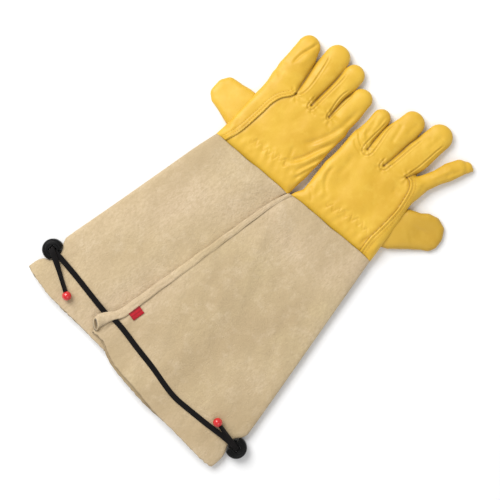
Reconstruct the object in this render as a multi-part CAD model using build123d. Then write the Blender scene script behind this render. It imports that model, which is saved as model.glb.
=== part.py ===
from build123d import *
import math
import os

# A pair of beekeeping gloves lying palm down, fingers towards +Y, resting on Z = 0.
# The right-hand glove is on the -X side, thumb towards -X. The left-hand glove is on the +X side,
# thumb towards +X, and the inner part of its sleeve lies on the right glove's sleeve.
# The origin is under the middle of the pair. All sizes are millimetres.

# ---- driving dimensions ----
SUEDE = 1.4            # sleeve leather
LEATHER = 1.1          # hand leather
REST_GAP = 0.3         # underside of the soft parts above the surface they lie on
TILT = 6.0             # both hands lie turned this far anticlockwise from the sleeves
SLEEVE_H = 15.0        # flattened sleeve, from underside to top
SHELF_H = 6.5          # right sleeve where the left one presses on it
RIDE_Z = 9.2           # underside of the left sleeve where it rides on the right one
RIDER_H = 9.5          # left sleeve there
RAMP = 20.0            # width over which the right sleeve thins beside the left one
EDGE_POWER = 5.0       # squareness of a flattened sleeve's rounded edge
EDGE_STEPS = 12        # facets across each face of a flattened tube
GROOVE = 2.3           # palm-side groove that the elastic lies in
GROOVE_HALF = 5.5      # half its width
JOINT_GAP = 1.0        # between two bodies at a fold
PALM_TOP = 4.3         # height at which palm pieces meet back pieces
PALM_UNDER = 0.35      # flat underside that the pair rests on
WALL_TOP = 11.0        # height at which finger side walls meet the finger backs
ELASTIC_W = 7.0        # flat drawcord
ELASTIC_T = 1.8
TAIL_D = 4.2           # the drawcord's two ends rolled together
BEAD_R = 6.0
LOCK_R = 13.8          # domed cord lock
LOCK_H = 14.0
LOCK_Z = 2.6           # underside of the lock, above the palm-side elastic
LOCK_FLAT = 5.4        # from the lock's centre to its flat side
KNUCKLE_V = 100.0      # wrist seam to knuckle fold
LABEL = (9.7, 18.4, 0.8)

RIGHT = {"name": "right", "sign": -1, "wrist": (-73.0, 50.0)}
LEFT = {"name": "left", "sign": 1, "wrist": (52.0, 65.0)}

# ---- hand outlines, in each glove's own directions ----
# u runs from the hand's middle towards the thumb, v from the wrist seam towards the fingertips.
# A station is (u, v, degrees turned towards the thumb, width, underside, height).
RIGHT["palm"] = [
    (1.5, JOINT_GAP / 2, 0, 118.0, 0.3, 18.0),
    (-3.0, 30.0, 0, 120.0, 0.3, 20.0),
    (-4.0, 60.0, 0, 118.0, 0.3, 20.0),
    (-4.0, KNUCKLE_V - JOINT_GAP / 2, 0, 117.0, 0.3, 17.0),
]
LEFT["palm"] = [
    (1.0, JOINT_GAP / 2, 0, 130.0, 0.3, 18.0),
    (4.5, 30.0, 0, 121.0, 0.3, 20.0),
    (3.2, 60.0, 0, 120.5, 0.3, 20.0),
    (2.2, KNUCKLE_V - JOINT_GAP / 2, 0, 112.5, 0.3, 17.0),
]
FINGER_V = KNUCKLE_V + JOINT_GAP / 2
RIGHT["fingers"] = {
    "index": [(35.2, FINGER_V, 0, 38.5, 0.3, 17.0), (39.0, 120.0, 4, 33.0, 0.3, 16.0),
              (41.0, 140.0, 2, 31.0, 0.3, 15.5), (40.5, 156.0, 0, 28.5, 0.5, 14.0),
              (40.5, 164.0, 0, 22.0, 1.5, 11.0), (40.5, 168.5, 0, 11.0, 3.5, 6.0)],
    "middle": [(3.0, FINGER_V, 0, 23.5, 0.3, 17.0), (3.5, 125.0, 0, 26.0, 0.3, 16.0),
               (3.0, 150.0, 0, 26.5, 0.3, 15.5), (1.8, 172.0, -2, 24.5, 0.5, 14.0),
               (1.2, 181.5, 0, 18.5, 1.5, 11.0), (1.2, 186.5, 0, 9.0, 3.5, 6.0)],
    "ring": [(-22.3, FINGER_V, 0, 24.0, 0.3, 17.0), (-23.5, 125.0, -2, 25.0, 0.3, 16.0),
             (-25.0, 150.0, -2, 25.0, 0.3, 15.5), (-26.6, 167.0, -2, 23.0, 0.5, 14.0),
             (-27.0, 176.0, 0, 17.0, 1.5, 11.0), (-27.0, 180.5, 0, 8.5, 3.5, 6.0)],
    "little": [(-49.0, FINGER_V, 0, 26.5, 0.3, 17.0), (-51.5, 120.0, -6, 24.5, 0.3, 15.5),
               (-54.8, 138.0, -7, 23.5, 0.3, 15.0), (-57.2, 152.0, -7, 21.5, 0.5, 13.5),
               (-58.5, 159.5, -6, 16.5, 1.5, 10.5), (-59.0, 163.5, -6, 8.0, 3.5, 6.0)],
}
LEFT["fingers"] = {
    "index": [(46.2, FINGER_V, 0, 24.0, 0.3, 17.0), (51.5, 114.0, 22, 22.0, 0.3, 16.0),
              (60.0, 130.0, 28, 20.0, 0.3, 15.5), (70.0, 148.0, 28, 20.5, 0.3, 15.0),
              (80.0, 164.5, 31, 19.0, 0.5, 13.5), (85.5, 172.5, 33, 14.5, 1.5, 10.5),
              (88.5, 177.0, 33, 7.5, 3.5, 6.0)],
    "middle": [(17.9, FINGER_V, 0, 29.5, 0.3, 17.0), (22.0, 125.0, 8, 29.0, 0.3, 16.0),
               (28.0, 150.0, 12, 28.0, 0.3, 15.5), (33.4, 173.0, 12, 25.0, 0.5, 14.0),
               (35.7, 183.5, 12, 19.0, 1.5, 11.0), (36.8, 189.0, 12, 9.5, 3.5, 6.0)],
    "ring": [(-12.1, FINGER_V, 0, 27.0, 0.3, 17.0), (-9.5, 125.0, 5, 27.0, 0.3, 16.0),
             (-6.0, 150.0, 6, 26.5, 0.3, 15.5), (-3.3, 167.0, 5, 23.5, 0.5, 14.0),
             (-2.4, 175.5, 4, 17.5, 1.5, 11.0), (-2.0, 180.5, 4, 9.0, 3.5, 6.0)],
    "little": [(-40.4, FINGER_V, 0, 26.5, 0.3, 17.0), (-40.0, 120.0, 1, 25.0, 0.3, 15.5),
               (-39.5, 135.0, 1, 24.0, 0.3, 15.0), (-39.6, 146.0, 0, 20.5, 0.5, 13.5),
               (-40.0, 152.0, 0, 15.0, 1.5, 10.5), (-40.2, 155.5, 0, 8.0, 3.5, 6.0)],
}
# Thumb stations run sideways, so their turn is measured from u towards the fingertips.
RIGHT["thumb"] = [
    (58.1, 42.5, 0, 44.0, 0.3, 14.0), (80.0, 45.5, 3, 36.0, 0.3, 13.5), (91.0, 47.2, 6, 31.0, 0.5, 12.5),
    (96.5, 48.0, 6, 23.0, 1.5, 10.0), (99.5, 48.3, 6, 12.0, 3.5, 6.0)]
LEFT["thumb"] = [
    (65.9, 52.0, 0, 49.0, 0.3, 14.0), (80.0, 63.5, 22, 42.0, 0.3, 13.5), (97.0, 72.5, 28, 36.0, 0.5, 12.5),
    (108.0, 78.5, 28, 29.0, 1.5, 10.0), (113.5, 81.5, 28, 16.0, 3.5, 6.0)]
# Seam of the thumb-side strip, from the wrist up to the crotch beside the index finger.
RIGHT["strip_seam"] = [(46.0, -2.0), (38.0, 17.0), (35.0, 50.0), (31.0, 76.0), (15.4, 104.0)]
LEFT["strip_seam"] = [(48.0, -2.0), (48.0, 30.0), (47.5, 56.0), (47.0, 82.0), (33.5, 104.0)]
RIGHT["thumb_hole"] = (25.0, 60.0)
LEFT["thumb_hole"] = (31.0, 73.0)

# ---- sleeve outlines ----
# A station is (y at x = 0, slope of the station line in x, outer edge x, inner edge x, shelf share,
# groove share). The shelf share is how far the two sleeves' overlap is shaped there, 0 to 1.
WRIST_SLOPE = math.tan(math.radians(TILT))
RIGHT["sleeve"] = [
    (57.1, WRIST_SLOPE, -134.0, -17.0, 0, 0), (20.0, 0.03, -140.0, -26.0, 1, 0),
    (-40.0, 0.0, -148.5, 3.0, 1, 0), (-120.0, 0.0, -161.0, 16.0, 1, 0),
    (-180.0, 0.0, -169.5, 26.0, 1, 0), (-197.0, -0.02, -164.8, 29.0, 1, 0),
    (-208.9, -0.047, -161.2, 31.0, 1, 0), (-210.9, -0.047, -161.0, 31.0, 1, 1),
    (-219.9, -0.047, -161.0, 31.0, 1, 1), (-221.9, -0.047, -161.2, 31.5, 1, 0),
    (-229.0, -0.04, -164.8, 33.5, 1, 0), (-237.0, -0.03, -175.0, 36.0, 1, 0),
    (-250.0, -0.03, -175.5, 38.0, 1, 0)]
LEFT["sleeve"] = [
    (59.0, WRIST_SLOPE, 118.0, -12.5, 0, 0), (20.0, 0.03, 127.0, -24.0, 1, 0),
    (-40.0, 0.0, 139.5, -35.0, 1, 0), (-120.0, 0.0, 155.0, -46.5, 1, 0),
    (-185.0, 0.0, 168.0, -55.5, 1, 0), (-197.0, -0.01, 163.8, -57.0, 1, 0),
    (-206.2, -0.013, 160.2, -58.5, 1, 0), (-208.2, -0.013, 160.0, -59.0, 1, 1),
    (-217.2, -0.013, 160.0, -60.0, 1, 1), (-219.2, -0.013, 160.2, -60.5, 1, 0),
    (-227.5, -0.02, 163.8, -62.0, 1, 0), (-236.0, -0.03, 165.5, -63.0, 1, 0),
    (-250.0, -0.045, 166.0, -64.5, 1, 0)]

# ---- the elastic, by hand-chosen points on its centre line, from the lock back to the lock ----
RIGHT["drawcord"] = [
    (-168.4, -207.2, 8.0), (-168.4, -207.2, 18.1), (-154.0, -207.3, 17.3), (-124.0, -209.4, 17.0),
    (-92.0, -212.8, 17.6), (-71.0, -214.8, 8.3), (-24.0, -216.8, 7.9), (10.0, -217.1, 8.2),
    (33.2, -217.0, 8.0), (33.4, -217.0, 1.5), (12.0, -216.9, 1.6), (-30.0, -214.2, 1.4),
    (-82.0, -211.2, 1.5), (-132.0, -209.0, 1.4), (-160.0, -207.3, 1.5), (-172.6, -207.2, 1.4),
    (-172.6, -207.2, 7.4)]
LEFT["drawcord"] = [
    (167.7, -215.0, 8.0), (167.7, -215.0, 18.1), (152.0, -215.3, 17.3), (122.0, -219.6, 17.1),
    (86.0, -224.2, 17.1), (66.0, -225.9, 17.2), (44.0, -223.3, 20.8), (-4.0, -216.8, 20.2),
    (-38.0, -212.4, 20.3), (-62.6, -212.1, 20.1), (-62.9, -212.1, 10.4), (-34.0, -212.2, 10.3),
    (4.0, -212.9, 10.4), (37.8, -213.2, 10.3), (51.3, -213.5, 1.5), (86.0, -213.9, 1.4),
    (128.0, -214.5, 1.5), (160.0, -215.0, 1.4), (171.9, -215.0, 1.4), (171.9, -215.0, 7.4)]
RIGHT["tail"] = [
    (-172.8, -207.2, 9.4), (-172.8, -207.2, 21.6), (-157.0, -213.8, 21.1), (-137.0, -224.2, 20.4),
    (-116.0, -234.5, 21.8)]
LEFT["tail"] = [
    (172.1, -215.0, 9.4), (172.1, -215.0, 21.8), (157.0, -213.2, 21.3), (142.0, -210.0, 20.9),
    (130.3, -208.5, 21.8)]
RIGHT["lock"] = (-171.0, -207.2, LOCK_Z)
LEFT["lock"] = (170.3, -215.0, LOCK_Z)


def place(glove, u, v, z=0.0):
    """A point given in the glove's own directions, in the frame of the pair."""
    turn = math.radians(TILT)
    x = glove["sign"] * u
    wx, wy = glove["wrist"]
    return (wx + x * math.cos(turn) - v * math.sin(turn), wy + x * math.sin(turn) + v * math.cos(turn), z)


def flat_oval(half_width, underside, height, power):
    """(offset, z) points round a flattened tube's section."""
    top = []
    bottom = []
    for k in range(EDGE_STEPS + 1):
        across = -math.cos(math.pi * k / EDGE_STEPS)
        swell = (1 - abs(across) ** power) ** (1 / power)
        top.append((half_width * across, underside + height / 2 * (1 + swell)))
        bottom.append((half_width * across, underside + height / 2 * (1 - swell)))
    return top + bottom[-2:0:-1]


def tube_wire(glove, station, inset, sideways):
    """One section of a finger, thumb or palm, its leather inset from the outside."""
    u, v, turn, width, underside, height = station
    angle = math.radians(turn)
    across = (-math.sin(angle), math.cos(angle)) if sideways else (math.cos(angle), -math.sin(angle))
    points = []
    for offset, z in flat_oval(width / 2 - inset, underside + inset, height - 2 * inset, 4.0):
        points.append(place(glove, u + offset * across[0], v + offset * across[1], z))
    return Wire.make_polygon(points, close=True)


def moved_station(station, distance, sideways):
    """The station moved along its own direction."""
    u, v, turn, *rest = station
    angle = math.radians(turn)
    along = (math.cos(angle), math.sin(angle)) if sideways else (math.sin(angle), math.cos(angle))
    return (u + distance * along[0], v + distance * along[1], turn, *rest)


def hollow_tube(glove, stations, closed_tip, sideways=False):
    """Leather tube through its stations, open at the first and, unless closed, at the last."""
    outer = Solid.make_loft([tube_wire(glove, s, 0, sideways) for s in stations], ruled=True)
    inside = [moved_station(stations[0], -1.0, sideways)] + list(stations[1:])
    last_move = -1.6 * LEATHER if closed_tip else 1.0
    inside[-1] = moved_station(stations[-1], last_move, sideways)
    void = Solid.make_loft([tube_wire(glove, s, LEATHER, sideways) for s in inside], ruled=True)
    return Part() + outer - void


def slab(z0, z1):
    """Everything between two heights."""
    return Box(700, 700, z1 - z0, align=(Align.CENTER, Align.CENTER, Align.MIN)).moved(Location((0, 0, z0)))


def prism(glove, outline, z0=-5.0, z1=40.0):
    """Upright block over an outline in the glove's own directions."""
    points = [place(glove, u, v, z0) for u, v in outline]
    face = Face(Wire.make_polygon(points, close=True))
    return Part() + extrude(face, amount=z1 - z0, dir=(0, 0, 1))


def thumb_side_of(path, glove):
    """Block on the thumb side of a line of (u, v) points."""
    far = 200.0
    return prism(glove, list(path) + [(far, path[-1][1]), (far, path[0][1])])


def hand_parts(glove):
    """Palm panel, back panel and thumb-side strip between wrist and knuckles, and the wrist elastic."""
    shell = hollow_tube(glove, glove["palm"], closed_tip=False)
    low, high = glove["thumb_hole"]
    side_u = glove["palm"][1][0] + glove["palm"][1][3] / 2
    shell -= prism(glove, [(side_u - 12, low), (side_u + 12, low), (side_u + 12, high), (side_u - 12, high)],
                   2.6, 12.0)
    strip_side = thumb_side_of(glove["strip_seam"], glove)
    upper = shell & slab(PALM_TOP, 40.0)
    band_top = 17.3
    middle = glove["palm"][1][0] - 6.0
    band = prism(glove, [(middle - 40, 21.0), (middle + 36, 21.0), (middle + 36, 28.0), (middle - 40, 28.0)],
                 band_top - 0.9, band_top)
    return {
        "palm_panel": shell & slab(PALM_UNDER, PALM_TOP),
        "back_panel": upper - strip_side,
        "side_strip": upper & strip_side,
        "wrist_elastic": band,
    }


def finger_parts(glove):
    """Finger backs, the four finger fronts, and the fourchettes that join neighbouring fingers."""
    parts = {}
    walls = {}
    fronts = Part()
    for name, stations in glove["fingers"].items():
        tube = hollow_tube(glove, stations, closed_tip=True)
        fronts += tube & slab(-5.0, PALM_TOP)
        band = tube & slab(PALM_TOP, WALL_TOP)
        middle = [s[:2] for s in stations]
        middle = [(middle[0][0], middle[0][1] - 5)] + middle[1:] + [(middle[-1][0], middle[-1][1] + 15)]
        thumb_block = thumb_side_of(middle, glove)
        walls[name] = (band & thumb_block, band - thumb_block)
        parts[name + "_finger_back"] = tube & slab(WALL_TOP, 40.0)
    parts["index_finger_back"] += walls["index"][0]
    parts["little_finger_back"] += walls["little"][1]
    parts["finger_fronts"] = fronts
    order = ["index", "middle", "ring", "little"]
    for near, far in zip(order, order[1:]):
        web = crotch_web(glove, near, far)
        parts[f"{near}_{far}_fourchette"] = walls[near][1] + walls[far][0] + web
    return parts


def crotch_web(glove, near, far):
    """The bend of a fourchette at the crotch between two fingers."""
    near_u, _, _, near_w, _, _ = glove["fingers"][near][0]
    far_u, _, _, far_w, _, _ = glove["fingers"][far][0]
    u1 = near_u - near_w / 2 + LEATHER / 2
    u0 = far_u + far_w / 2 - LEATHER / 2
    v0 = FINGER_V + 0.1
    return prism(glove, [(u0, v0), (u1, v0), (u1, v0 + 2.5), (u0, v0 + 2.5)], PALM_TOP, WALL_TOP)


def thumb_parts(glove):
    """Wing thumb, its palm half and its back half."""
    tube = hollow_tube(glove, glove["thumb"], closed_tip=True, sideways=True)
    middle = 7.0
    return {"thumb_front": tube & slab(-5.0, middle), "thumb_back": tube & slab(middle, 40.0)}


def share(value, start, width):
    """0 before start, 1 after start + width, straight between."""
    return min(max((value - start) / width, 0.0), 1.0)


def inner_edge(glove, y):
    """x of the sleeve's inner edge at a height y along the pair."""
    edge = [(y0 + slope * inner_x, inner_x) for y0, slope, _, inner_x, _, _ in glove["sleeve"]]
    for (upper_y, upper_x), (lower_y, lower_x) in zip(edge, edge[1:]):
        if y >= lower_y:
            return upper_x + (lower_x - upper_x) * share(upper_y - y, 0.0, upper_y - lower_y)
    return edge[-1][1]


def sleeve_profile(glove, x, y, shelf):
    """Underside and height of the flattened sleeve at a point of the plan."""
    if glove is RIGHT:
        pressed = shelf * share(x, inner_edge(LEFT, y) - RAMP - 15, RAMP)
        return REST_GAP, SLEEVE_H - pressed * (SLEEVE_H - SHELF_H)
    ridden = shelf * (1 - share(x, inner_edge(RIGHT, y) + 10, 14.0))
    return REST_GAP + ridden * (RIDE_Z - REST_GAP), SLEEVE_H - ridden * (SLEEVE_H - RIDER_H)


def sleeve_wire(glove, station, inset):
    """One section of a sleeve, its suede inset from the outside."""
    y0, slope, outer_x, inner_x, shelf, groove = station
    left = min(outer_x, inner_x) + inset
    right = max(outer_x, inner_x) - inset
    top = []
    bottom = []
    for k in range(2 * EDGE_STEPS + 1):
        across = -math.cos(math.pi * k / (2 * EDGE_STEPS))
        x = (left + right) / 2 + across * (right - left) / 2
        underside, height = sleeve_profile(glove, x, y0, shelf)
        underside += inset + groove * GROOVE
        height -= 2 * inset + groove * GROOVE
        swell = (1 - abs(across) ** EDGE_POWER) ** (1 / EDGE_POWER)
        y = y0 + slope * x
        top.append((x, y, underside + height / 2 * (1 + swell)))
        bottom.append((x, y, underside + height / 2 * (1 - swell)))
    return Wire.make_polygon(top + bottom[-2:0:-1], close=True)


def sleeve(glove):
    """Suede sleeve, a flattened tube open at the wrist and at the cuff."""
    stations = glove["sleeve"]
    outer = Solid.make_loft([sleeve_wire(glove, s, 0) for s in stations], ruled=True)
    first, last = stations[0], stations[-1]
    inside = [(first[0] + 1, *first[1:])] + stations[1:-1] + [(last[0] - 1, *last[1:])]
    void = Solid.make_loft([sleeve_wire(glove, s, SUEDE) for s in inside], ruled=True)
    return Part() + outer - void


def bar(points, width, z0, height):
    """Strip lying along a line of (x, y) points that are its -X edge."""
    sections = []
    for x, y in points:
        sections.append(Wire.make_polygon(
            [(x, y, z0), (x + width, y, z0), (x + width, y, z0 + height), (x, y, z0 + height)], close=True))
    return Part() + Solid.make_loft(sections, ruled=True)


def left_welt():
    """Folded seam allowance on top of the left sleeve, beside its inner edge, notched over the elastic."""
    line = [(inner_edge(LEFT, y) + offset, y)
            for y, offset in ((10.0, 3.5), (-100.0, 5.0), (-180.0, 6.6), (-247.0, 10.0))]
    top = RIDE_Z + RIDER_H
    notch = Box(30, ELASTIC_W + 3, 3.0, align=(Align.CENTER, Align.CENTER, Align.MIN))
    return bar(line, 4.5, top + 0.15, 3.8) - notch.moved(Location((inner_edge(LEFT, -212.2) + 8, -212.2, top)))


def right_welt():
    """Seam allowance along the right sleeve's inner edge, notched round the elastic."""
    line = [(inner_x + 0.5, y0 + slope * inner_x) for y0, slope, _, inner_x, _, _ in RIGHT["sleeve"][2:]]
    notch = Box(20, ELASTIC_W + 4, 12)
    return bar(line, 3.6, 2.2, 2.6) - notch.moved(Location((inner_edge(RIGHT, -217.0) + 2, -217.0, 3.5)))


def corner_radii(points):
    """0.45 of the shorter run over the tangent of half the turn, at each corner."""
    radii = []
    for a, b, c in zip(points, points[1:], points[2:]):
        first, second = Vector(b) - Vector(a), Vector(c) - Vector(b)
        half = math.radians(first.get_angle(second) / 2)
        radii.append(0.45 * min(first.length, second.length) / math.tan(half))
    return radii


def cord_path(name, points):
    """Straight runs joined by tangent arcs."""
    radii = corner_radii(points)
    path = FilletPolyline(*points, radius=radii)
    print(f"{name}: length {path.length:.1f}, radii {[round(r, 1) for r in radii]}")
    return path


def drawcord(glove):
    """Flat elastic lofted along its path, its width kept along Y."""
    path = cord_path(glove["name"] + "_drawcord", glove["drawcord"])
    sections = []
    for edge in path.edges().sort_by(path):
        steps = (0, 1) if edge.geom_type == GeomType.LINE else (0.2, 0.4, 0.6, 0.8)
        for step in steps:
            flat = Plane(origin=edge @ step, x_dir=(0, 1, 0), z_dir=edge % step)
            sections.append(Wire.make_rect(ELASTIC_W, ELASTIC_T, flat))
    solid = Part() + Solid.make_loft(sections, ruled=True)
    print(f"  volume {solid.volume:.0f}, section times length {ELASTIC_W * ELASTIC_T * path.length:.0f}")
    return solid


def tail(glove):
    """The elastic's two ends rolled together, from the lock to the bead."""
    path = cord_path(glove["name"] + "_drawcord_tail", glove["tail"])
    section = Plane(origin=path @ 0, z_dir=path % 0) * Circle(TAIL_D / 2)
    solid = Part() + sweep(section, path=path)
    print(f"  volume {solid.volume:.0f}, section times length "
          f"{math.pi * TAIL_D ** 2 / 4 * path.length:.0f}")
    return solid


def bead(glove):
    """Round bead threaded on the end of the tail."""
    before, centre = glove["tail"][-2], glove["tail"][-1]
    along = Vector(centre) - Vector(before)
    ball = Sphere(BEAD_R)
    bore = Cylinder(TAIL_D / 2 + 0.3, 4 * BEAD_R)
    return Plane(origin=centre, z_dir=along) * (ball - bore)


def lock_pieces():
    """Cord lock, button and spring; x runs from the dome towards the sleeve, z = 0 is the underside."""
    bore_w, bore_z0, bore_z1, bore_end = 13.0, 3.0, 11.0, -11.5
    slot_x0, slot_x1, slot_half = -4.4, 4.0, 4.3
    travel = 3.0
    puck = Cylinder(LOCK_R, LOCK_H, align=(Align.CENTER, Align.CENTER, Align.MIN))
    puck = fillet(puck.edges().filter_by(GeomType.CIRCLE).sort_by(Axis.Z)[-1], 5.0)
    puck = chamfer(puck.edges().filter_by(GeomType.CIRCLE).sort_by(Axis.Z)[0], 1.2)
    puck -= Pos(LOCK_FLAT + 20, 0, LOCK_H / 2) * Box(40, 60, 40)
    low_x = (Align.MIN, Align.CENTER, Align.MIN)
    puck -= Pos(bore_end, 0, bore_z0) * Box(40, bore_w, bore_z1 - bore_z0, align=low_x)
    slot = Pos(slot_x0, 0, -5) * Box(slot_x1 - slot_x0, 2 * slot_half, 40, align=low_x)
    puck -= slot
    saddle_z = 12.2
    puck -= Pos(slot_x1 - 0.5, 0, saddle_z) * Box(10, 2 * slot_half, 10, align=low_x)
    button_back, button_face = -5.9, LOCK_FLAT + 3.6
    button = Pos(button_back, 0, bore_z0 + 0.3) * Box(
        button_face - button_back, bore_w - 0.6, bore_z1 - bore_z0 - 0.6, align=low_x)
    button = fillet(button.faces().sort_by(Axis.X)[-1].edges(), 0.9)
    button -= Pos(slot_x0 - 0.1, 0, -5) * Box(slot_x1 - slot_x0 + travel + 0.2, 2 * slot_half, 40, align=low_x)
    wire_r, coil_r = 0.35, 2.3
    coil_length = button_back - bore_end - 2 * wire_r - 0.3
    helix = Helix(pitch=coil_length / 4, height=coil_length, radius=coil_r)
    section = Plane(origin=helix @ 0, z_dir=helix % 0) * Circle(wire_r)
    coil = sweep(section, path=helix, is_frenet=True)
    mid_z = (bore_z0 + bore_z1) / 2
    coil = Pos(bore_end + wire_r + 0.15, 0, mid_z) * Rot(0, 90, 0) * coil
    return {"cord_lock_body": puck, "cord_lock_button": button, "cord_lock_spring": coil}


def side_label():
    """Small plain label caught in the left sleeve's seam."""
    width, length, thickness = LABEL
    return Location((-38.6, -187.5, RIDE_Z + RIDER_H + 0.3 + thickness / 2), (0, 0, -8.2)) * Box(
        width, length, thickness)


def glove_parts(glove):
    """Every piece of one glove, by node name."""
    pieces = {}
    pieces.update(hand_parts(glove))
    pieces.update(finger_parts(glove))
    pieces.update(thumb_parts(glove))
    pieces["sleeve"] = sleeve(glove)
    pieces["sleeve_welt"] = left_welt() if glove is LEFT else right_welt()
    pieces["drawcord"] = drawcord(glove)
    pieces["drawcord_tail"] = tail(glove)
    pieces["bead"] = bead(glove)
    facing = 0 if glove is RIGHT else 180
    for name, piece in lock_pieces().items():
        pieces[name] = Location(glove["lock"], (0, 0, facing)) * piece
    if glove is LEFT:
        pieces["side_label"] = side_label()
    return {f"{glove['name']}_{name}": piece for name, piece in pieces.items()}


os.makedirs("parts", exist_ok=True)
for one_glove in (RIGHT, LEFT):
    for node, shape in glove_parts(one_glove).items():
        export_step(shape, f"parts/{node}.step")
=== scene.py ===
import math

import bpy
import numpy as np
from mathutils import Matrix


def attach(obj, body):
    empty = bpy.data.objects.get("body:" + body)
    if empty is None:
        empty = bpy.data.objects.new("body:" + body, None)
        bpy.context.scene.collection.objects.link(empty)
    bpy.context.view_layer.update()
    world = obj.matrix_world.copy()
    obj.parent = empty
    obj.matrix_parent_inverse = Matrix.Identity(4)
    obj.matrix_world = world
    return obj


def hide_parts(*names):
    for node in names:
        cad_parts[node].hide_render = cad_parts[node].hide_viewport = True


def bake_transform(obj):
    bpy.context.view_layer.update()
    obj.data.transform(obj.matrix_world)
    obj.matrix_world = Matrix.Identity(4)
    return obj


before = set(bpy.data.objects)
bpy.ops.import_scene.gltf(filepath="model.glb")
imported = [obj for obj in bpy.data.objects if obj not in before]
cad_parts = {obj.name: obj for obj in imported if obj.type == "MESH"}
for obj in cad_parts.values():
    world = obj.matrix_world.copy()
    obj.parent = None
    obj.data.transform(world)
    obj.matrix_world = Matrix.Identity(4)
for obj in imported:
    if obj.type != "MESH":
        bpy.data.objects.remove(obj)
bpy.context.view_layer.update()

import openvdb
from mathutils import Vector
from mathutils.bvhtree import BVHTree

# Sizes below are millimetres, in each glove's own directions or in the frame of the pair.
MM = 0.001
TILT = math.radians(6.0)      # both hands lie turned this far anticlockwise from the sleeves
SUEDE = 1.3                   # thickness
PARED = 0.4                   # share of that thickness where the suede is sewn to the hand
CELL = 0.8                    # size of the cells that the hands are meshed from
BAND_W, BAND_T = 7.0, 1.9     # flat elastic, across and through
REST_GAP = 0.4                # underside above the surface
HAND_START = -2.2             # v where the leather starts, inside the sleeve's end
HAND_HALF = 8.9               # half the height of the hand
SLEEVE_TOP = 15.3             # top of a sleeve that lies on the surface
RIDE_UP = 13.2                # how much higher the left sleeve lies on the right one
EDGE_POWER = 3.4              # roundness of a sleeve's two long edges
FINGER_POWER = 2.15           # roundness of a finger's section
THUMB_MIDDLE = 7.0            # height of the thumb's seam at its root
THUMB_DROP = (46, 2.0)        # the seam comes down over this length towards the tip, by this much
LEFT_THUMB_PAINTED_SHADE = 0.27        # painted shade over the whole left thumb, where the palm shades it
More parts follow.
